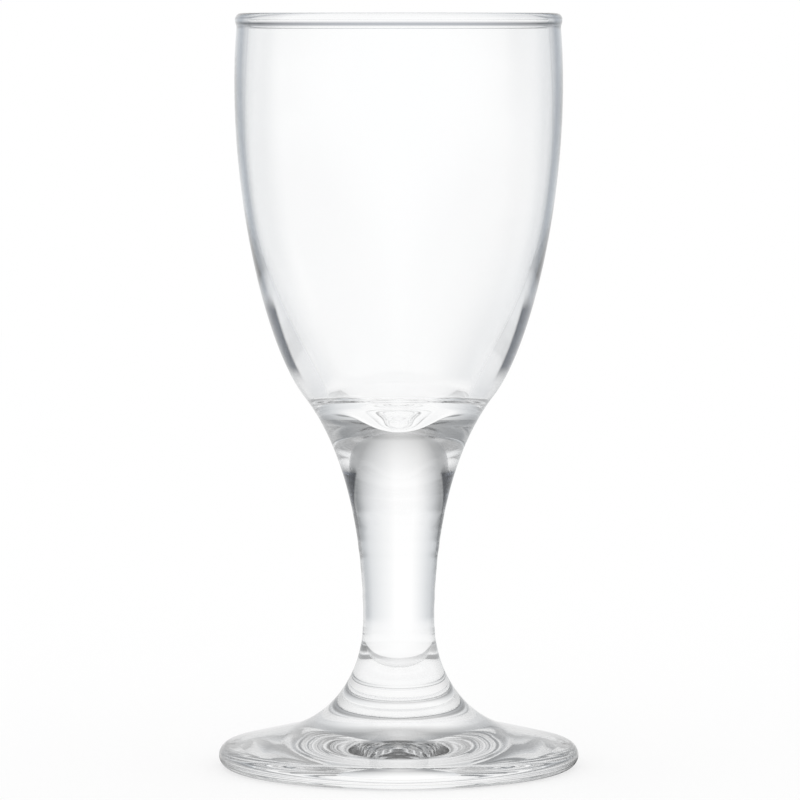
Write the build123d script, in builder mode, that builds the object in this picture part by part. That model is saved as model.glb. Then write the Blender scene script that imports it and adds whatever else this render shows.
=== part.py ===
from build123d import *

import os
from math import cos, hypot, radians, sin, tan

# Stemmed sherry glass in three pieces of clear glass that are fused end to end:
# a foot, a solid stem and a bowl. All sizes are in millimetres, angles in degrees.
# The glass stands on z = 0 with its axis on Z.

# Foot: a disc with a rounded edge, a conical top and an underside hollowed to a flat cone.
foot_diameter = 50.3
foot_edge_radius = 1.6
foot_cone_angle = 13.8
foot_cone_diameter = 31.4
foot_ring_width = 2.0
foot_hollow_slope = 5.0
foot_hollow_tip_radius = 40.0

# Joint of foot and stem: a flat fused face.
foot_joint_diameter = 16.8
foot_joint_height = 10.0
foot_joint_lean = 37.9

# Stem: solid, thinnest at its waist.
stem_length = 33.5
stem_waist_diameter = 9.95
stem_waist_rise = 10.6

# Joint of stem and bowl: the bowl's round bottom sits in a dish of the same curve.
bowl_joint_diameter = 17.4
bowl_joint_depth = 2.4
bowl_joint_lean = 20.8

# Bowl: egg-shaped, with a thick round bottom and a fire-polished rim.
bowl_height = 61.5
bowl_shoulder_diameter = 26.55
bowl_shoulder_rise = 8.4
bowl_shoulder_lean = 37.6
bowl_neck_diameter = 45.0
bowl_neck_drop = 2.2
bowl_neck_lean = -4.6
rim_diameter = 45.4
rim_thickness = 1.86

# Inside of the bowl: a round pit in the thick bottom, a narrow shelf around it, then the wall.
pit_rise = 5.4
pit_depth = 3.4
pit_diameter = 13.0
shelf_diameter = 18.0
shelf_slope = 2.0
shelf_corner_radius = 2.0
wall_lean = 34.0
rim_wall = 1.7
inner_neck_lean = -4.0

# Pull of each outline curve at its lower and upper end, as shares of its chord.
foot_flare_pull = (0.305, 0.376)
stem_flare_pull = (0.291, 0.407)
stem_neck_pull = (0.228, 0.381)
bowl_base_pull = (0.339, 0.329)
bowl_side_pull = (0.179, 0.390)
bowl_inner_pull = (0.420, 0.310)
pit_pull = (0.400, 0.400)
rim_pull = (0.4, 0.4)


def climb(start, start_lean, end, end_lean, pull):
    """Control points of an outline curve that climbs from start to end.

    A lean is the outline's angle from upright, positive where it opens outwards."""
    chord = hypot(end[0] - start[0], end[1] - start[1])
    rise = chord * pull[0]
    fall = chord * pull[1]
    lower = (start[0] + rise * sin(radians(start_lean)), start[1] + rise * cos(radians(start_lean)))
    upper = (end[0] - fall * sin(radians(end_lean)), end[1] - fall * cos(radians(end_lean)))
    return start, lower, upper, end


# Heights that follow from the sizes above.
bowl_joint_height = foot_joint_height + stem_length
glass_height = bowl_joint_height + bowl_height

# Points of the outline, as radius and height, from the table up.
foot_edge_centre = (foot_diameter / 2 - foot_edge_radius, foot_edge_radius)
foot_edge_top = (
    foot_edge_centre[0] + foot_edge_radius * sin(radians(foot_cone_angle)),
    foot_edge_centre[1] + foot_edge_radius * cos(radians(foot_cone_angle)),
)
foot_cone_top = (
    foot_cone_diameter / 2,
    foot_edge_top[1] + (foot_edge_top[0] - foot_cone_diameter / 2) * tan(radians(foot_cone_angle)),
)
foot_ring_inner = foot_edge_centre[0] - foot_ring_width
foot_joint = (foot_joint_diameter / 2, foot_joint_height)
stem_waist = (stem_waist_diameter / 2, foot_joint_height + stem_waist_rise)
bowl_joint = (bowl_joint_diameter / 2, bowl_joint_height)
bowl_shoulder = (bowl_shoulder_diameter / 2, bowl_joint_height + bowl_shoulder_rise)
bowl_neck = (bowl_neck_diameter / 2, glass_height - bowl_neck_drop)
rim_height = glass_height - rim_thickness / 2
rim_outer = (rim_diameter / 2, rim_height)
rim_inner = (rim_diameter / 2 - rim_thickness, rim_height)
inner_neck = (bowl_neck[0] - rim_wall, bowl_neck[1])

# Points of the inside, from the pit's lowest point out.
pit_bottom = (0, bowl_joint_height + pit_rise)
pit_edge = (pit_diameter / 2, pit_bottom[1] + pit_depth)
shelf_edge = (
    shelf_diameter / 2,
    pit_edge[1] + (shelf_diameter - pit_diameter) / 2 * tan(radians(shelf_slope)),
)
corner_centre = (
    shelf_edge[0] - shelf_corner_radius * sin(radians(shelf_slope)),
    shelf_edge[1] + shelf_corner_radius * cos(radians(shelf_slope)),
)
wall_foot = (
    corner_centre[0] + shelf_corner_radius * cos(radians(wall_lean)),
    corner_centre[1] - shelf_corner_radius * sin(radians(wall_lean)),
)

# Lowest point of the bowl's bottom, and the radius of the sphere that it shares with the stem.
bowl_bottom = (0, bowl_joint_height - bowl_joint_depth)
joint_sphere = (bowl_joint[0] ** 2 + bowl_joint_depth**2) / (2 * bowl_joint_depth)

# Hollow underside, a flat cone from the resting ring to a rounded tip on the axis.
hollow_tip_radius = foot_hollow_tip_radius * sin(radians(foot_hollow_slope))
hollow_tip = (hollow_tip_radius, (foot_ring_inner - hollow_tip_radius) * tan(radians(foot_hollow_slope)))
hollow_top = (0, hollow_tip[1] + foot_hollow_tip_radius * (1 - cos(radians(foot_hollow_slope))))

with BuildPart() as foot:
    with BuildSketch(Plane.XZ):
        with BuildLine():
            RadiusArc(hollow_top, hollow_tip, foot_hollow_tip_radius)
            Polyline(hollow_tip, (foot_ring_inner, 0), (foot_edge_centre[0], 0))
            CenterArc(foot_edge_centre, foot_edge_radius, -90, 180 - foot_cone_angle)
            Line(foot_edge_top, foot_cone_top)
            Bezier(*climb(foot_cone_top, foot_cone_angle - 90, foot_joint, -foot_joint_lean, foot_flare_pull))
            Polyline(foot_joint, (0, foot_joint_height), hollow_top)
        make_face()
    revolve(axis=Axis.Z)

with BuildPart() as stem:
    with BuildSketch(Plane.XZ):
        with BuildLine():
            Line((0, foot_joint_height), foot_joint)
            Bezier(*climb(foot_joint, -foot_joint_lean, stem_waist, 0, stem_flare_pull))
            Bezier(*climb(stem_waist, 0, bowl_joint, bowl_joint_lean, stem_neck_pull))
            RadiusArc(bowl_joint, bowl_bottom, joint_sphere)
            Line(bowl_bottom, (0, foot_joint_height))
        make_face()
    revolve(axis=Axis.Z)

with BuildPart() as bowl:
    with BuildSketch(Plane.XZ):
        with BuildLine():
            RadiusArc(bowl_joint, bowl_bottom, joint_sphere)
            Bezier(*climb(bowl_joint, bowl_joint_lean, bowl_shoulder, bowl_shoulder_lean, bowl_base_pull))
            Bezier(*climb(bowl_shoulder, bowl_shoulder_lean, bowl_neck, bowl_neck_lean, bowl_side_pull))
            Bezier(*climb(bowl_neck, bowl_neck_lean, rim_outer, 0, rim_pull))
            CenterArc((rim_outer[0] - rim_thickness / 2, rim_height), rim_thickness / 2, 0, 180)
            Bezier(*climb(inner_neck, inner_neck_lean, rim_inner, 0, rim_pull))
            Bezier(*climb(wall_foot, wall_lean, inner_neck, inner_neck_lean, bowl_inner_pull))
            RadiusArc(wall_foot, shelf_edge, shelf_corner_radius)
            Line(shelf_edge, pit_edge)
            Bezier(*climb(pit_bottom, 90, pit_edge, 90 - shelf_slope, pit_pull))
            Line(pit_bottom, bowl_bottom)
        make_face()
    revolve(axis=Axis.Z)

os.makedirs("parts", exist_ok=True)
foot.part.label = "foot"
export_step(foot.part, "parts/foot.step")
stem.part.label = "stem"
export_step(stem.part, "parts/stem.step")
bowl.part.label = "bowl"
export_step(bowl.part, "parts/bowl.step")
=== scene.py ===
from math import cos, exp, hypot, pi, radians, sin, sqrt, tan

import bmesh
import bpy
from bpy.props import FloatProperty, FloatVectorProperty, IntProperty, PointerProperty
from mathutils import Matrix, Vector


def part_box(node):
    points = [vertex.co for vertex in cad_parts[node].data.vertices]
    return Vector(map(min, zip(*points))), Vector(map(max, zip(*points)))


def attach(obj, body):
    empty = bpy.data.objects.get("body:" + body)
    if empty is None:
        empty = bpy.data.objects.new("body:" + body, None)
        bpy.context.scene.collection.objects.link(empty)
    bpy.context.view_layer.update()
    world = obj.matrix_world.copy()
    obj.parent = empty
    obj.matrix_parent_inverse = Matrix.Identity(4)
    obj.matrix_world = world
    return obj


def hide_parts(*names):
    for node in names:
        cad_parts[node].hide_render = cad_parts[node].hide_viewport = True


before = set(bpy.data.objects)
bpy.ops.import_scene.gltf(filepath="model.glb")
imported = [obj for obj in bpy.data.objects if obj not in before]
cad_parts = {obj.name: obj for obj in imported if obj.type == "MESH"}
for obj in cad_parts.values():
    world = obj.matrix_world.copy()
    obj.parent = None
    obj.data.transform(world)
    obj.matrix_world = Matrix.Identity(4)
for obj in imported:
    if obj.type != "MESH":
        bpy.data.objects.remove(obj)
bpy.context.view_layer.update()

bl_info = {
    "name": "Sherry Glass",
    "version": (1, 0, 0),
    "blender": (4, 5, 0),
    "location": "View3D > Sidebar > Sherry Glass",
    "description": "Models a stemmed sherry glass in clear pressed glass, on a white studio sweep",
    "category": "Add Mesh",
}

# The glass is three pieces fused end to end: foot, stem and bowl. Each is an outline, as radius
# and height in metres, spun around Z. A lean is an outline's angle from upright, positive where it
# opens outwards, and a pull is how far a curve keeps to its end's lean, as a share of its chord.

MM = 0.001
BODY = "root"
GLASS_NAME = "clear_glass_polished"
SEAM_NAME = "fused_seam_unseen"
WHITE = (1, 1, 1, 1)
MERGE_DISTANCE = 1e-7
LIGHT_BOUNCES = 24

FOOT_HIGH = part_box("foot")[1]
STEM_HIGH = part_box("stem")[1]
BOWL_LOW, BOWL_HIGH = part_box("bowl")


def length(name, description, metres):
    """A size in metres."""
    return FloatProperty(name=name, description=description, default=metres, unit="LENGTH", precision=5)


def angle(name, description, degrees):
    """An angle, written in degrees and kept in radians."""
    return FloatProperty(name=name, description=description, default=radians(degrees), subtype="ANGLE")


def pull(name, description, shares):
    """The pulls at the lower and upper end of a curve."""
    return FloatVectorProperty(name=name, description=description, default=shares, size=2, min=0.0, max=1.0)


def factor(name, description, share):
    """A plain number between none and a few times over."""
    return FloatProperty(name=name, description=description, default=share, min=0.0, max=10.0)


def count(name, description, number):
    """A number of steps around a circle."""
    return IntProperty(name=name, description=description, default=number, min=24, max=512)


def colour(name, description, red_green_blue):
    """A linear colour."""
    return FloatVectorProperty(
        name=name, description=description, default=red_green_blue, subtype="COLOR", min=0.0, max=1.0
    )


class SHERRY_PG_joints(bpy.types.PropertyGroup):
    """The two fused seams, where the pieces meet"""

    foot_radius: length("Foot seam radius", "Radius of the flat seam of foot and stem", 8.4 * MM)
    foot_height: length("Foot seam height", "Height of the flat seam of foot and stem", FOOT_HIGH.z)
    foot_lean: angle("Foot seam lean", "Lean of the outline at the seam of foot and stem", -37.9)
    bowl_radius: length("Bowl seam radius", "Radius of the seam of stem and bowl", STEM_HIGH.x)
    bowl_height: length("Bowl seam height", "Height of the outer edge of that seam", STEM_HIGH.z)
    bowl_bottom: length("Bowl bottom", "Height of the bowl's lowest point, in the stem's dish", BOWL_LOW.z)
    bowl_lean: angle("Bowl seam lean", "Lean of the outline at the seam of stem and bowl", 20.8)


class SHERRY_PG_foot(bpy.types.PropertyGroup):
    """Sizes of the foot"""

    radius: length("Radius", "Widest radius of the foot", FOOT_HIGH.x)
    edge: length("Edge radius", "Roundness of the foot's outer edge", 1.6 * MM)
    cone_slope: angle("Cone slope", "Slope of the foot's conical top", 13.8)
    cone_radius: length("Cone radius", "Radius where the cone turns into the flare of the stem", 15.7 * MM)
    flare: pull("Flare", "Pulls of the flare from the cone up to the stem", (0.305, 0.376))
    ring_width: length("Ring width", "Width of the flat ring that the glass stands on", 2.0 * MM)
    hollow_slope: angle("Hollow slope", "Slope of the hollow underside, a flat cone", 5.0)
    hollow_tip: length("Hollow tip", "Roundness of the hollow's middle", 40 * MM)


class SHERRY_PG_stem(bpy.types.PropertyGroup):
    """Sizes of the stem"""

    waist_radius: length("Waist radius", "Radius at the thinnest place of the stem", 4.975 * MM)
    waist_rise: length("Waist rise", "Height of the waist above the foot's seam", 10.6 * MM)
    flare: pull("Flare", "Pulls of the curve from the foot's seam to the waist", (0.291, 0.407))
    neck: pull("Neck", "Pulls of the curve from the waist to the bowl's seam", (0.228, 0.381))
    ripple_height: length("Ripple height", "Height of the faint rings left by the forming tool", 0.012 * MM)
    ripple_pitch: length("Ripple pitch", "Distance between those rings", 2.3 * MM)
    ripple_ratio: factor("Ripple ratio", "Pitch of a second set of rings, in pitches of the first", 1.62)


class SHERRY_PG_bowl(bpy.types.PropertyGroup):
    """Sizes of the bowl, outside and inside"""

    shoulder_radius: length("Shoulder radius", "Outer radius where base and side meet", 13.275 * MM)
    shoulder_rise: length("Shoulder rise", "Height of the shoulder above the stem's seam", 8.4 * MM)
    shoulder_lean: angle("Shoulder lean", "Lean of the outside at the shoulder", 37.6)
    base: pull("Base", "Pulls of the outside from the seam to the shoulder", (0.339, 0.329))
    side: pull("Side", "Pulls of the outside from the shoulder to the neck", (0.179, 0.390))
    neck_radius: length("Neck radius", "Outer radius at the slight neck under the rim", 22.5 * MM)
    neck_drop: length("Neck drop", "Distance of the neck below the top of the rim", 2.2 * MM)
    neck_lean: angle("Neck lean", "Lean of the outside at the neck", -4.6)
    rim_radius: length("Rim radius", "Outer radius of the rim", 22.7 * MM)
    rim_thickness: length("Rim thickness", "Thickness of the fire-polished rim", 1.86 * MM)
    rim: pull("Rim", "Pulls of the curves from the neck to the rim", (0.4, 0.4))
    wall: length("Wall", "Thickness of the wall at the neck", 1.7 * MM)
    inner_neck_lean: angle("Inner neck lean", "Lean of the inside at the neck", -4.0)
    inner_side: pull("Inner side", "Pulls of the inside from the corner to the neck", (0.420, 0.310))
    wall_lean: angle("Wall lean", "Lean of the inside just above the shelf's corner", 34.0)
    corner: length("Corner", "Radius of the corner between the shelf and the wall", 2.0 * MM)
    shelf_radius: length("Shelf radius", "Outer radius of the shelf around the pit", 9.0 * MM)
    shelf_slope: angle("Shelf slope", "Rise of the shelf towards the wall", 2.0)
    pit_radius: length("Pit radius", "Radius of the pit in the thick bottom", 6.5 * MM)
    pit_depth: length("Pit depth", "Depth of the pit below its edge", 3.4 * MM)
    pit_rise: length("Pit rise", "Height of the pit's lowest point above the stem's seam", 5.4 * MM)
    pit: pull("Pit", "Pulls of the pit's curve", (0.40, 0.40))
    ring_inner: length("Inner press ring", "Radius of the inner ring pressed into the pit", 0.6 * MM)
    ring_outer: length("Outer press ring", "Radius of the outer ring pressed into the pit", 1.5 * MM)
    ring_height: length("Press ring height", "Height of the two pressed rings", 0.005 * MM)
    ring_width: length("Press ring width", "Half width of the two pressed rings", 0.15 * MM)


class SHERRY_PG_finish(bpy.types.PropertyGroup):
    """The glass itself, clear seen straight on, with painted shade where its outside turns away"""

    tint: colour("Tint", "Colour of the clear glass seen straight on", (1.0, 1.0, 1.0))
    streak: colour("Streak tint", "Colour of the faint streaks in the glass", (0.990, 0.994, 0.996))
    streak_width: length("Streak width", "Width of those streaks", 11.1 * MM)
    streak_length: length("Streak length", "Length of those streaks, up the glass", 31.7 * MM)
    # Painted shade: the two edge colours darken the glass where its outside turns away, in place of the
    # dark studio seen through its edges.
    wall_edge_shade: colour("Wall edge", "Colour where light grazes the bowl's wall", (0.16, 0.19, 0.23))
    wall_facing: factor("Wall facing", "How far the wall turns away before that colour starts", 0.58)
    wall_ramp: factor("Wall ramp", "How much further it turns until that colour is full", 0.16)
    solid_edge_shade: colour("Solid edge", "Colour where light grazes the thick glass", (0.02, 0.025, 0.03))
    solid_power: factor("Solid power", "How closely that colour keeps to the edges", 2.8)
    solid_top: length("Solid top", "Height above which the glass is thin", STEM_HIGH.z + 23.5 * MM)
    solid_full: length("Solid full", "Height below which the glass is thick", STEM_HIGH.z + 17.5 * MM)
    # Painted shade: the colour of the dark band at the thick wall and of the dark strips down the stem.
    dark: colour("Dark edge", "Colour of the dark band and strips at the edges", (0.015, 0.018, 0.025))
    dark_ramp: factor("Dark ramp", "How much further an edge turns until band or strip is full", 0.05)
    band_height: length("Band height", "Middle of the band, at the thick wall", STEM_HIGH.z + 16.7 * MM)
    band_width: length("Band width", "Half height of the band", 6.5 * MM)
    band_core: factor("Band core", "Share of that half height within which the band is full", 0.6)
    band_facing: factor("Band facing", "How far the bowl turns away before the band starts", 0.60)
    strip_top: length("Strip top", "Height where the stem's strips begin", STEM_HIGH.z - 0.7 * MM)
    strip_full: length("Strip full", "Height where the strips are widest", STEM_HIGH.z - 2.1 * MM)
    strip_middle: length("Strip middle", "Height where the strips are narrow", STEM_HIGH.z - 6.5 * MM)
    strip_end: length("Strip end", "Height where the strips have faded away", STEM_HIGH.z - 17.5 * MM)
    strip_wide: factor("Wide strip", "How far the stem turns away before a wide strip starts", 0.36)
    strip_narrow: factor("Narrow strip", "How far it turns away before a narrow strip starts", 0.60)
    # Painted shade: the rim line is a darker line under the rim, in place of the dark studio that the
    # bead's lower edge bends into view.
    rim_line: colour("Rim line", "Colour of the line left by fire polishing", (0.42, 0.44, 0.48))
    rim_line_drop: length("Rim line drop", "Distance of that line below the top of the rim", 1.45 * MM)
    rim_line_width: length("Rim line width", "Half width of that line", 0.45 * MM)
    rim_line_turn: factor("Rim line turn", "How soon that line darkens as it turns away", 2.0)
    refraction: factor("Refraction", "Index of refraction of soda-lime glass", 1.52)
    wave_size: length("Wave size", "Size of the faint waves in the polished surface", 9.0 * MM)
    wave_height: length("Wave height", "Height of the faint waves in the polished surface", 0.004 * MM)
    facets: count("Facets", "Steps of each spun outline", 128)


class SHERRY_PG_studio(bpy.types.PropertyGroup):
    """The white sweep, its lights and the camera"""

    floor_colour: colour("Floor colour", "Colour of the pale floor", (0.9, 0.9, 0.9))
    floor_glow: factor("Floor glow", "Share of the floor that is lit from below", 0.65)
    floor_radius: length("Floor radius", "Radius of the round floor", 1.0)
    floor_facets: count("Floor facets", "Corners of the round floor", 96)
    floor_drop: length("Floor drop", "How far the floor lies under the ring that rests on it", 0.05 * MM)
    floor_near: length("Lit floor", "Radius of the fully lit floor around the glass", 30 * MM)
    floor_far: length("Floor fade", "Radius where the floor has faded to the studio around it", 200 * MM)
    arch: angle("Arch", "Angle to the side at which the light reaches half as high as straight behind", 32)
    dim: colour("Dim light", "Colour of the studio where it is dim", (0.82, 0.91, 1.0))
    shadow: factor("Shadow", "Depth of the shadow under the foot's edge, at the sides", 0.8)
    shadow_right: factor("Shadow to the right", "How much deeper it is on the right", 0.2)
    camera_place: FloatVectorProperty(
        name="Camera place",
        description="Where the camera stands",
        default=(0.00018, -0.71985, 0.10407),
        subtype="TRANSLATION",
        unit="LENGTH",
    )
    camera_dip: angle("Camera dip", "How far the camera looks down", 4.199)
    camera_lens: FloatProperty(name="Lens", description="Focal length in millimetres", default=233.2)
    camera_near: length("Camera near", "Nearest distance that the camera shows", 10 * MM)


# Brightness of the studio that the glass shows. SIDE_LIGHT goes by the angle to the side of
# straight behind, in degrees, positive to the right. HIGH_LIGHT goes by the angle above the
# horizon, which counts for more towards the sides and so makes an arch of light. TOP_LIGHT goes by
# the plain angle above the horizon and is a bright ring around a dark ceiling. FLOOR_LIGHT goes by
# the distance on the floor, in metres, and is the shadow that the foot's edge leaves around itself.
SIDE_LIGHT = (
    (-90, 0.93),
    (-80, 0.64),
    (-72, 0.52),
    (-62, 0.58),
    (-54, 0.64),
    (-40, 0.73),
    (-28, 0.86),
    (-20, 0.95),
    (-13, 1.02),
    (3, 1.02),
    (8, 0.97),
    (16, 0.91),
    (34, 0.78),
    (47, 0.63),
    (55, 0.62),
    (63, 0.87),
    (72, 1.00),
    (90, 0.93),
)
HIGH_LIGHT = ((-90, 1.0), (10, 1.0), (16, 0.96), (22, 0.87), (42, 0.60), (54, 0.46), (90, 0.44))
TOP_LIGHT = ((-90, 1.0), (38, 1.0), (48, 1.4), (60, 1.4), (68, 0.10), (90, 0.03))
FLOOR_LIGHT = ((0.019, 1.0), (0.0215, 0.25), (0.026, 0.15), (0.031, 1.0))
FLOOR_SPAN = 0.05


# Outlines


def eased(step, steps):
    """Share of the way at a step, with short steps at both ends, so that seams stay smooth."""
    share = step / steps
    return share * share * (3 - 2 * share)


def climb(start, start_lean, end, end_lean, pulls, steps):
    """Points of a curve that climbs from start to end, leaving and arriving at the given leans."""
    chord = hypot(end[0] - start[0], end[1] - start[1])
    rise = chord * pulls[0]
    fall = chord * pulls[1]
    lower = (start[0] + rise * sin(start_lean), start[1] + rise * cos(start_lean))
    upper = (end[0] - fall * sin(end_lean), end[1] - fall * cos(end_lean))
    corners = (start, lower, upper, end)
    points = []
    for step in range(steps + 1):
        t = eased(step, steps)
        weights = ((1 - t) ** 3, 3 * t * (1 - t) ** 2, 3 * t * t * (1 - t), t**3)
        points.append(tuple(sum(w * c[axis] for w, c in zip(weights, corners)) for axis in (0, 1)))
    return points


def turn(centre, radius, first, last, steps):
    """Points of an arc about centre, between two angles from the horizontal."""
    angles = [first + (last - first) * step / steps for step in range(steps + 1)]
    return [(centre[0] + radius * cos(a), centre[1] + radius * sin(a)) for a in angles]


def straight(start, end, steps):
    """Points of a straight stretch."""
    shares = [eased(step, steps) for step in range(steps + 1)]
    return [tuple(s + (e - s) * t for s, e in zip(start, end)) for t in shares]


def backwards(points):
    """The points of a stretch from its end to its start, without the end, which is already there."""
    return points[-2::-1]


def bowl_seam(joints, steps=12):
    """Points of the round seam of stem and bowl, from the axis out."""
    depth = joints.bowl_height - joints.bowl_bottom
    sphere = (joints.bowl_radius**2 + depth**2) / (2 * depth)
    centre = joints.bowl_bottom + sphere
    radii = [joints.bowl_radius * eased(step, steps) for step in range(steps + 1)]
    return [(radius, centre - sqrt(sphere**2 - radius**2)) for radius in radii]


def foot_seam(joints, steps=8):
    """Points of the flat seam of foot and stem, from the axis out."""
    return straight((0, joints.foot_height), (joints.foot_radius, joints.foot_height), steps)


# Pieces


def spin_stretch(mesh, points, material, facets):
    """Spins one stretch of an outline around Z into faces of one material."""
    before = set(mesh.faces)
    corners = [mesh.verts.new((radius, 0, height)) for radius, height in points]
    edges = [mesh.edges.new(pair) for pair in zip(corners, corners[1:])]
    bmesh.ops.spin(
        mesh,
        geom=corners + edges,
        cent=(0, 0, 0),
        axis=(0, 0, 1),
        angle=2 * pi,
        steps=facets,
        use_merge=True,
    )
    for face in mesh.faces:
        if face not in before:
            face.material_index = material
            face.smooth = True


def fused_piece(node, glass_outline, seam_outlines, settings):
    """One piece of the glass: its polished outline and the seams where it meets its neighbours."""
    materials = (clear_glass(settings.finish), fused_seam(settings.finish))
    mesh = bmesh.new()
    for seam in seam_outlines:
        spin_stretch(mesh, seam, 1, settings.finish.facets)
    spin_stretch(mesh, glass_outline, 0, settings.finish.facets)
    bmesh.ops.remove_doubles(mesh, verts=mesh.verts, dist=MERGE_DISTANCE)
    bmesh.ops.recalc_face_normals(mesh, faces=mesh.faces)
    for edge in mesh.edges:
        if len({face.material_index for face in edge.link_faces}) > 1:
            edge.smooth = False
    data = bpy.data.meshes.new("glass_" + node)
    mesh.to_mesh(data)
    mesh.free()
    for material in materials:
        data.materials.append(material)
    piece = bpy.data.objects.new("glass_" + node, data)
    bpy.context.scene.collection.objects.link(piece)
    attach(piece, BODY)
    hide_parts(node)


def foot_outline(foot, joints):
    """The foot from the middle of its hollow, round its edge and up to the stem's seam."""
    centre = (foot.radius - foot.edge, foot.edge)
    ring_inner = centre[0] - foot.ring_width
    slope = foot.cone_slope
    edge_top = (centre[0] + foot.edge * sin(slope), centre[1] + foot.edge * cos(slope))
    cone_top = (foot.cone_radius, edge_top[1] + (edge_top[0] - foot.cone_radius) * tan(slope))
    seam = (joints.foot_radius, joints.foot_height)
    hollow = foot.hollow_slope
    tip_radius = foot.hollow_tip * sin(hollow)
    tip_end = (tip_radius, (ring_inner - tip_radius) * tan(hollow))
    tip_centre = (0, tip_end[1] - foot.hollow_tip * cos(hollow))
    outline = turn(tip_centre, foot.hollow_tip, pi / 2, pi / 2 - hollow, steps=8)
    outline += straight(tip_end, (ring_inner, 0), steps=24)[1:]
    outline += straight((ring_inner, 0), (centre[0], 0), steps=6)[1:]
    outline += turn(centre, foot.edge, -pi / 2, pi / 2 - slope, steps=28)[1:]
    outline += straight(edge_top, cone_top, steps=20)[1:]
    outline += climb(cone_top, slope - pi / 2, seam, joints.foot_lean, foot.flare, steps=32)[1:]
    return outline


def stem_outline(stem, joints):
    """The stem from the foot's seam, past the waist, to the bowl's seam, with the tool's faint rings."""
    waist = (stem.waist_radius, joints.foot_height + stem.waist_rise)
    low = (joints.foot_radius, joints.foot_height)
    high = (joints.bowl_radius, joints.bowl_height)
    outline = climb(low, joints.foot_lean, waist, 0, stem.flare, steps=64)
    outline += climb(waist, 0, high, joints.bowl_lean, stem.neck, steps=96)[1:]
    pitches = (stem.ripple_pitch, stem.ripple_ratio * stem.ripple_pitch)
    rippled = []
    for radius, height in outline:
        along = (height - low[1]) / (high[1] - low[1])
        strength = sin(pi * along) ** 2
        wave = sum(sin(2 * pi * height / pitch) for pitch in pitches)
        rippled.append((radius + stem.ripple_height * strength * wave, height))
    return rippled


def bowl_outline(bowl, joints):
    """The bowl from the stem's seam up the outside, over the rim and down the inside to the pit."""
    seam = (joints.bowl_radius, joints.bowl_height)
    shoulder = (bowl.shoulder_radius, joints.bowl_height + bowl.shoulder_rise)
    neck = (bowl.neck_radius, BOWL_HIGH.z - bowl.neck_drop)
    neck_lean, inner_lean, wall_lean = bowl.neck_lean, bowl.inner_neck_lean, bowl.wall_lean
    rim_round = bowl.rim_thickness / 2
    rim_height = BOWL_HIGH.z - rim_round
    rim_outer = (bowl.rim_radius, rim_height)
    rim_inner = (bowl.rim_radius - bowl.rim_thickness, rim_height)
    rim_centre = (bowl.rim_radius - rim_round, rim_height)
    inner_neck = (bowl.neck_radius - bowl.wall, neck[1])
    pit_bottom = (0, joints.bowl_height + bowl.pit_rise)
    pit_edge = (bowl.pit_radius, pit_bottom[1] + bowl.pit_depth)
    slope = bowl.shelf_slope
    shelf_edge = (bowl.shelf_radius, pit_edge[1] + (bowl.shelf_radius - bowl.pit_radius) * tan(slope))
    corner = (shelf_edge[0] - bowl.corner * sin(slope), shelf_edge[1] + bowl.corner * cos(slope))
    wall_foot = (corner[0] + bowl.corner * cos(wall_lean), corner[1] - bowl.corner * sin(wall_lean))
    outline = climb(seam, joints.bowl_lean, shoulder, bowl.shoulder_lean, bowl.base, steps=32)
    outline += climb(shoulder, bowl.shoulder_lean, neck, neck_lean, bowl.side, steps=64)[1:]
    outline += climb(neck, neck_lean, rim_outer, 0, bowl.rim, steps=10)[1:]
    outline += turn(rim_centre, rim_round, 0, pi, steps=24)[1:]
    outline += backwards(climb(inner_neck, inner_lean, rim_inner, 0, bowl.rim, steps=10))
    outline += backwards(climb(wall_foot, wall_lean, inner_neck, inner_lean, bowl.inner_side, steps=72))
    outline += turn(corner, bowl.corner, -wall_lean, slope - pi / 2, steps=14)[1:]
    outline += straight(shelf_edge, pit_edge, steps=8)[1:]
    pit = climb(pit_bottom, pi / 2, pit_edge, pi / 2 - slope, bowl.pit, steps=72)
    rings = (bowl.ring_inner, bowl.ring_outer)
    for radius, height in backwards(pit):
        bump = sum(exp(-(((radius - ring) / bowl.ring_width) ** 2)) for ring in rings)
        outline.append((radius, height + bowl.ring_height * bump))
    return outline


# Node trees


def place(tree, kind, inputs=None, **settings):
    """Adds a node, with its settings, and its inputs set to values or wired to sockets."""
    node = tree.nodes.new(kind)
    for name, value in settings.items():
        setattr(node, name, value)
    for name, value in (inputs or {}).items():
        if isinstance(value, bpy.types.NodeSocket):
            tree.links.new(value, node.inputs[name])
        else:
            node.inputs[name].default_value = value
    return node


def sum_up(tree, operation, *values):
    """One step of arithmetic on sockets or plain numbers."""
    return place(tree, "ShaderNodeMath", dict(enumerate(values)), operation=operation).outputs[0]


def mixed(tree, share, first, second):
    """A colour between two others, by the share of the second."""
    return place(tree, "ShaderNodeMix", {0: share, 6: first, 7: second}, data_type="RGBA").outputs[2]


def between(tree, share, first, second):
    """A number between two others, by the share of the second."""
    return place(tree, "ShaderNodeMix", {0: share, 2: first, 3: second}).outputs[0]


def ramp(tree, value, start, end, interpolation="LINEAR"):
    """Goes from none to one while a value goes from start to end."""
    return place(
        tree,
        "ShaderNodeMapRange",
        {"Value": value, "From Min": start, "From Max": end},
        interpolation_type=interpolation,
    ).outputs[0]


def soft_ramp(tree, value, start, end):
    """A ramp that eases in and out."""
    return ramp(tree, value, start, end, "SMOOTHSTEP")


def away_from(tree, value, middle):
    """Distance of a value from a middle, to either side."""
    return sum_up(tree, "ABSOLUTE", sum_up(tree, "SUBTRACT", value, middle))


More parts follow.
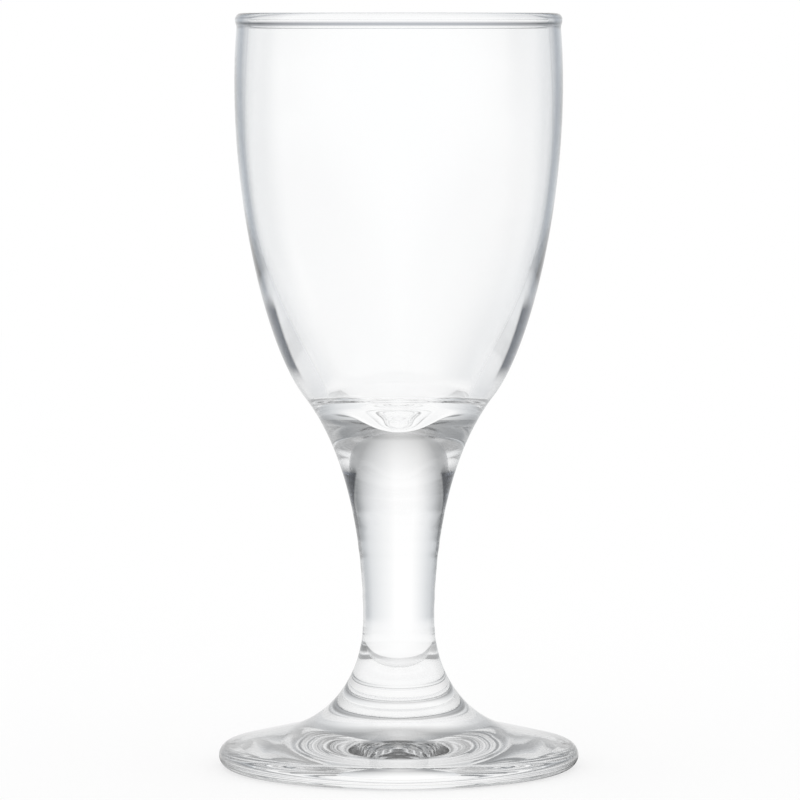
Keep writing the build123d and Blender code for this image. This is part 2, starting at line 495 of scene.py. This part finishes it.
def fade(tree, value, stops, span):
    """Brightness by a value, through stops given between -span and span."""
    half_share = 0.5 / span
    share = sum_up(tree, "MULTIPLY_ADD", value, half_share, 0.5)
    stepped = place(tree, "ShaderNodeValToRGB", {0: share})
    elements = stepped.color_ramp.elements
    while len(elements) < len(stops):
        elements.new(0.5)
    for element, (position, brightness) in zip(elements, stops):
        element.position = 0.5 + position * half_share
        element.color = (brightness, brightness, brightness, 1)
    return stepped.outputs[0]


def new_tree(owner):
    """The owner's node tree, emptied."""
    owner.use_nodes = True
    owner.node_tree.nodes.clear()
    return owner.node_tree


# Finishes


def streaked(tree, finish, coordinates):
    """Colour of the clear glass with its faint streaks."""
    density = (1 / finish.streak_width, 1 / finish.streak_width, 1 / finish.streak_length)
    stretched = place(tree, "ShaderNodeMapping", {"Vector": coordinates, "Scale": density}).outputs[0]
    streaks = place(
        tree, "ShaderNodeTexNoise", {"Vector": stretched, "Scale": 1.0, "Detail": 3.0}
    ).outputs[0]
    return mixed(tree, streaks, (*finish.tint, 1), (*finish.streak, 1))


def outer_side(tree, texture):
    """One where the surface faces away from the axis, also for light that meets it from within."""
    flat = place(
        tree, "ShaderNodeVectorMath", {0: texture.outputs["Object"], 1: (1, 1, 0)}, operation="MULTIPLY"
    ).outputs[0]
    outward = place(
        tree, "ShaderNodeVectorMath", {0: texture.outputs["Normal"], 1: flat}, operation="DOT_PRODUCT"
    ).outputs["Value"]
    behind = place(tree, "ShaderNodeNewGeometry").outputs["Backfacing"]
    return away_from(tree, sum_up(tree, "GREATER_THAN", outward, 0.0), behind)


def painted_edge_shade(tree, finish, clear, height, facing, outside):
    """The clear colour with painted shade where the outside turns away: crisply on the wall, broadly below
    it.
    """
    solid = ramp(tree, height, finish.solid_top, finish.solid_full)
    edge = mixed(tree, solid, (*finish.wall_edge_shade, 1), (*finish.solid_edge_shade, 1))
    wall_share = soft_ramp(tree, facing, finish.wall_facing, finish.wall_facing + finish.wall_ramp)
    solid_share = sum_up(tree, "POWER", facing, finish.solid_power)
    share = between(tree, solid, wall_share, solid_share)
    return mixed(tree, sum_up(tree, "MULTIPLY", share, outside), clear, edge)


def painted_wall_band(tree, finish, height, facing):
    """Share of the band of painted shade at the edges, where the bowl's wall thickens."""
    from_middle = away_from(tree, height, finish.band_height)
    in_band = soft_ramp(tree, from_middle, finish.band_width, finish.band_core * finish.band_width)
    at_edge = soft_ramp(tree, facing, finish.band_facing, finish.band_facing + finish.dark_ramp)
    return sum_up(tree, "MULTIPLY", in_band, at_edge)


def painted_stem_strips(tree, finish, height, facing):
    """Share of the strips of painted shade down the sides of the stem, wide at the top and fading below."""
    narrowing = ramp(tree, height, finish.strip_full, finish.strip_middle)
    start = between(tree, narrowing, finish.strip_wide, finish.strip_narrow)
    in_strip = soft_ramp(tree, sum_up(tree, "SUBTRACT", facing, start), 0.0, finish.dark_ramp)
    below_top = ramp(tree, height, finish.strip_top, finish.strip_full)
    above_end = ramp(tree, height, finish.strip_end, finish.strip_middle)
    return sum_up(tree, "MULTIPLY", in_strip, sum_up(tree, "MULTIPLY", below_top, above_end))


def painted_rim_line(tree, finish, below, height, facing):
    """The colour below with a line of painted shade under the rim, which darkens where the rim turns away.
    """
    from_line = away_from(tree, height, BOWL_HIGH.z - finish.rim_line_drop)
    on_line = soft_ramp(tree, from_line, finish.rim_line_width, 0.0)
    turned = sum_up(tree, "MULTIPLY", facing, finish.rim_line_turn)
    line = mixed(tree, turned, (*finish.rim_line, 1), (*finish.solid_edge_shade, 1))
    return mixed(tree, on_line, below, line)


def polished_waves(tree, finish, coordinates):
    """The faint waves in the polished surface."""
    waves = place(
        tree, "ShaderNodeTexNoise", {"Vector": coordinates, "Scale": 1 / finish.wave_size, "Detail": 1.0}
    ).outputs[0]
    return place(
        tree, "ShaderNodeBump", {"Height": waves, "Strength": 1.0, "Distance": finish.wave_height}
    ).outputs[0]


def clear_glass(finish):
    """Clear polished glass with faint streaks and waves, with painted shade at its edges in place of the
    dark studio seen through them.
    """
    if GLASS_NAME in bpy.data.materials:
        return bpy.data.materials[GLASS_NAME]
    material = bpy.data.materials.new(GLASS_NAME)
    tree = new_tree(material)
    texture = place(tree, "ShaderNodeTexCoord")
    coordinates = texture.outputs["Object"]
    height = place(tree, "ShaderNodeSeparateXYZ", {0: coordinates}).outputs[2]
    facing = place(tree, "ShaderNodeLayerWeight", {"Blend": 0.5}).outputs["Facing"]
    outside = outer_side(tree, texture)
    clear = streaked(tree, finish, coordinates)
    # Painted shade at the edges, where the outside turns away.
    edge_shaded = painted_edge_shade(tree, finish, clear, height, facing, outside)
    band = painted_wall_band(tree, finish, height, facing)
    strips = painted_stem_strips(tree, finish, height, facing)
    # Painted shade: the dark band on the thick wall and the dark strips down the stem.
    dark = sum_up(tree, "MULTIPLY", sum_up(tree, "MAXIMUM", band, strips), outside)
    banded = mixed(tree, dark, edge_shaded, (*finish.dark, 1))
    shader = place(
        tree,
        "ShaderNodeBsdfPrincipled",
        {
            # Painted shade: a dark line under the rim.
            "Base Color": painted_rim_line(tree, finish, banded, height, facing),
            "Roughness": 0.0,
            "IOR": finish.refraction,
            "Transmission Weight": 1.0,
            "Normal": polished_waves(tree, finish, coordinates),
        },
    )
    place(tree, "ShaderNodeOutputMaterial", {"Surface": shader.outputs[0]})
    return material


def fused_seam(finish):
    """The inside of a fused seam, which light passes as if it were not there."""
    if SEAM_NAME in bpy.data.materials:
        return bpy.data.materials[SEAM_NAME]
    material = bpy.data.materials.new(SEAM_NAME)
    tree = new_tree(material)
    shader = place(
        tree, "ShaderNodeBsdfPrincipled", {"Base Color": (*finish.tint, 1), "Roughness": 0.0, "Alpha": 0.0}
    )
    place(tree, "ShaderNodeOutputMaterial", {"Surface": shader.outputs[0]})
    return material


# Studio


def seen_in_glass(tree):
    """One for rays that the glass reflects or bends, none for the camera and for lighting."""
    path = place(tree, "ShaderNodeLightPath")
    return sum_up(tree, "MAXIMUM", path.outputs["Is Glossy Ray"], path.outputs["Is Transmission Ray"])


def angle_light(tree, value, stops, span):
    """Brightness of the studio by an angle, through stops in degrees."""
    return fade(tree, value, [(radians(degrees), light) for degrees, light in stops], span)


def studio_world(studio):
    """A white studio: white to the camera, and in the glass bright behind and dim at the sides.

    The arch of light behind the glass is mirrored in front of it."""
    world = bpy.data.worlds.new("white_studio")
    tree = new_tree(world)
    direction = place(tree, "ShaderNodeTexCoord").outputs["Generated"]
    x, y, z = place(tree, "ShaderNodeSeparateXYZ", {0: direction}).outputs
    side = sum_up(tree, "ARCTAN2", x, y)
    rise = sum_up(tree, "ARCSINE", z)
    aside = sum_up(tree, "DIVIDE", sum_up(tree, "PINGPONG", side, pi / 2), studio.arch)
    arched = sum_up(tree, "MULTIPLY", rise, sum_up(tree, "MULTIPLY_ADD", aside, aside, 1.0))
    high = angle_light(tree, arched, HIGH_LIGHT, pi / 2)
    top = angle_light(tree, rise, TOP_LIGHT, pi / 2)
    sides = angle_light(tree, side, SIDE_LIGHT, pi)
    light = sum_up(tree, "MULTIPLY", sides, sum_up(tree, "MULTIPLY", high, top))
    glass = seen_in_glass(tree)
    pattern = mixed(tree, sides, (*studio.dim, 1), WHITE)
    seen = mixed(tree, glass, WHITE, pattern)
    strength = sum_up(tree, "MULTIPLY_ADD", glass, sum_up(tree, "SUBTRACT", light, 1.0), 1.0)
    background = place(tree, "ShaderNodeBackground", {"Color": seen, "Strength": strength})
    place(tree, "ShaderNodeOutputWorld", {"Surface": background.outputs[0]})
    return world


def lit_floor(tree, studio):
    """A matt floor that takes the shadow, lit from below just so far that it is white elsewhere."""
    matt = place(tree, "ShaderNodeBsdfDiffuse", {"Color": (*studio.floor_colour, 1)})
    strength = (1 - studio.floor_colour[0] * (1 - studio.floor_glow)) / studio.floor_glow
    glow = place(tree, "ShaderNodeEmission", {"Strength": strength})
    return place(
        tree, "ShaderNodeMixShader", {0: studio.floor_glow, 1: matt.outputs[0], 2: glow.outputs[0]}
    ).outputs[0]


def floor_in_glass(tree, studio):
    """The floor that the glass shows: lit around the foot, shaded at its edge, then like the studio."""
    coordinates = place(tree, "ShaderNodeTexCoord").outputs["Object"]
    x, y, _ = place(tree, "ShaderNodeSeparateXYZ", {0: coordinates}).outputs
    distance = place(tree, "ShaderNodeVectorMath", {0: coordinates}, operation="LENGTH").outputs["Value"]
    far = ramp(tree, distance, studio.floor_near, studio.floor_far)
    side = sum_up(tree, "ARCTAN2", x, y)
    dimming = sum_up(tree, "SUBTRACT", angle_light(tree, side, SIDE_LIGHT, pi), 1.0)
    sides = sum_up(tree, "MULTIPLY_ADD", far, dimming, 1.0)
    shadow = sum_up(tree, "SUBTRACT", fade(tree, distance, FLOOR_LIGHT, FLOOR_SPAN), 1.0)
    across = sum_up(tree, "SINE", side)
    beside = sum_up(tree, "MULTIPLY", sum_up(tree, "ABSOLUTE", across), studio.shadow)
    depth = sum_up(tree, "MULTIPLY_ADD", across, studio.shadow_right, beside)
    light = sum_up(tree, "MULTIPLY", sides, sum_up(tree, "MULTIPLY_ADD", shadow, depth, 1.0))
    pattern = mixed(tree, sides, (*studio.dim, 1), WHITE)
    return place(tree, "ShaderNodeEmission", {"Color": pattern, "Strength": light}).outputs[0]


def floor_finish(studio):
    """The pale floor, as the camera sees it and as the glass shows it."""
    material = bpy.data.materials.new("pale_floor")
    tree = new_tree(material)
    both = place(
        tree,
        "ShaderNodeMixShader",
        {0: seen_in_glass(tree), 1: lit_floor(tree, studio), 2: floor_in_glass(tree, studio)},
    )
    place(tree, "ShaderNodeOutputMaterial", {"Surface": both.outputs[0]})
    return material


def studio_floor(studio):
    """The floor that the glass stands on."""
    mesh = bmesh.new()
    bmesh.ops.create_circle(mesh, cap_ends=True, segments=studio.floor_facets, radius=studio.floor_radius)
    data = bpy.data.meshes.new("studio_floor")
    mesh.to_mesh(data)
    mesh.free()
    data.materials.append(floor_finish(studio))
    floor = bpy.data.objects.new("studio_floor", data)
    floor.location.z = -studio.floor_drop
    bpy.context.scene.collection.objects.link(floor)


def studio_camera(studio):
    """The camera, at the photograph's viewing angle."""
    data = bpy.data.cameras.new("studio_camera")
    data.lens = studio.camera_lens
    data.clip_start = studio.camera_near
    camera = bpy.data.objects.new("studio_camera", data)
    camera.location = studio.camera_place
    camera.rotation_euler = (pi / 2 - studio.camera_dip, 0, 0)
    bpy.context.scene.collection.objects.link(camera)
    bpy.context.scene.camera = camera


# Operators and panel


class SHERRY_PG_settings(bpy.types.PropertyGroup):
    """All settings of the sherry glass"""

    joints: PointerProperty(type=SHERRY_PG_joints)
    foot: PointerProperty(type=SHERRY_PG_foot)
    stem: PointerProperty(type=SHERRY_PG_stem)
    bowl: PointerProperty(type=SHERRY_PG_bowl)
    finish: PointerProperty(type=SHERRY_PG_finish)
    studio: PointerProperty(type=SHERRY_PG_studio)


class SHERRY_OT_foot(bpy.types.Operator):
    """Model the foot"""

    bl_idname = "sherry.foot"
    bl_label = "Foot"

    def execute(self, context):
        settings = context.scene.sherry
        seams = [foot_seam(settings.joints)]
        fused_piece("foot", foot_outline(settings.foot, settings.joints), seams, settings)
        return {"FINISHED"}


class SHERRY_OT_stem(bpy.types.Operator):
    """Model the stem"""

    bl_idname = "sherry.stem"
    bl_label = "Stem"

    def execute(self, context):
        settings = context.scene.sherry
        seams = [foot_seam(settings.joints), bowl_seam(settings.joints)]
        fused_piece("stem", stem_outline(settings.stem, settings.joints), seams, settings)
        return {"FINISHED"}


class SHERRY_OT_bowl(bpy.types.Operator):
    """Model the bowl"""

    bl_idname = "sherry.bowl"
    bl_label = "Bowl"

    def execute(self, context):
        settings = context.scene.sherry
        seams = [bowl_seam(settings.joints)]
        fused_piece("bowl", bowl_outline(settings.bowl, settings.joints), seams, settings)
        return {"FINISHED"}


class SHERRY_OT_stage(bpy.types.Operator):
    """Set up the white studio, its floor and the camera"""

    bl_idname = "sherry.stage"
    bl_label = "Stage"

    def execute(self, context):
        scene = context.scene
        scene.world = studio_world(scene.sherry.studio)
        studio_floor(scene.sherry.studio)
        studio_camera(scene.sherry.studio)
        scene.view_settings.view_transform = "Standard"
        scene.cycles.max_bounces = LIGHT_BOUNCES
        scene.cycles.transmission_bounces = LIGHT_BOUNCES
        scene.cycles.glossy_bounces = LIGHT_BOUNCES
        return {"FINISHED"}


class SHERRY_PT_panel(bpy.types.Panel):
    """The glass's pieces and settings"""

    bl_idname = "SHERRY_PT_panel"
    bl_label = "Sherry Glass"
    bl_space_type = "VIEW_3D"
    bl_region_type = "UI"
    bl_category = "Sherry Glass"

    def draw(self, context):
        layout = self.layout
        for operator in OPERATORS:
            layout.operator(operator.bl_idname)
        for group in SHERRY_PG_settings.__annotations__:
            box = layout.box()
            box.label(text=group.title())
            settings = getattr(context.scene.sherry, group)
            for name in type(settings).__annotations__:
                box.prop(settings, name)


OPERATORS = (SHERRY_OT_foot, SHERRY_OT_stem, SHERRY_OT_bowl, SHERRY_OT_stage)
CLASSES = (
    SHERRY_PG_joints,
    SHERRY_PG_foot,
    SHERRY_PG_stem,
    SHERRY_PG_bowl,
    SHERRY_PG_finish,
    SHERRY_PG_studio,
    SHERRY_PG_settings,
    *OPERATORS,
    SHERRY_PT_panel,
)


def register():
    for cls in CLASSES:
        bpy.utils.register_class(cls)
    bpy.types.Scene.sherry = PointerProperty(type=SHERRY_PG_settings)


def unregister():
    del bpy.types.Scene.sherry
    for cls in reversed(CLASSES):
        bpy.utils.unregister_class(cls)


def main():
    """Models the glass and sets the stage."""
    register()
    bpy.ops.sherry.foot()
    bpy.ops.sherry.stem()
    bpy.ops.sherry.bowl()
    bpy.ops.sherry.stage()


if __name__ == "__main__":
    main()
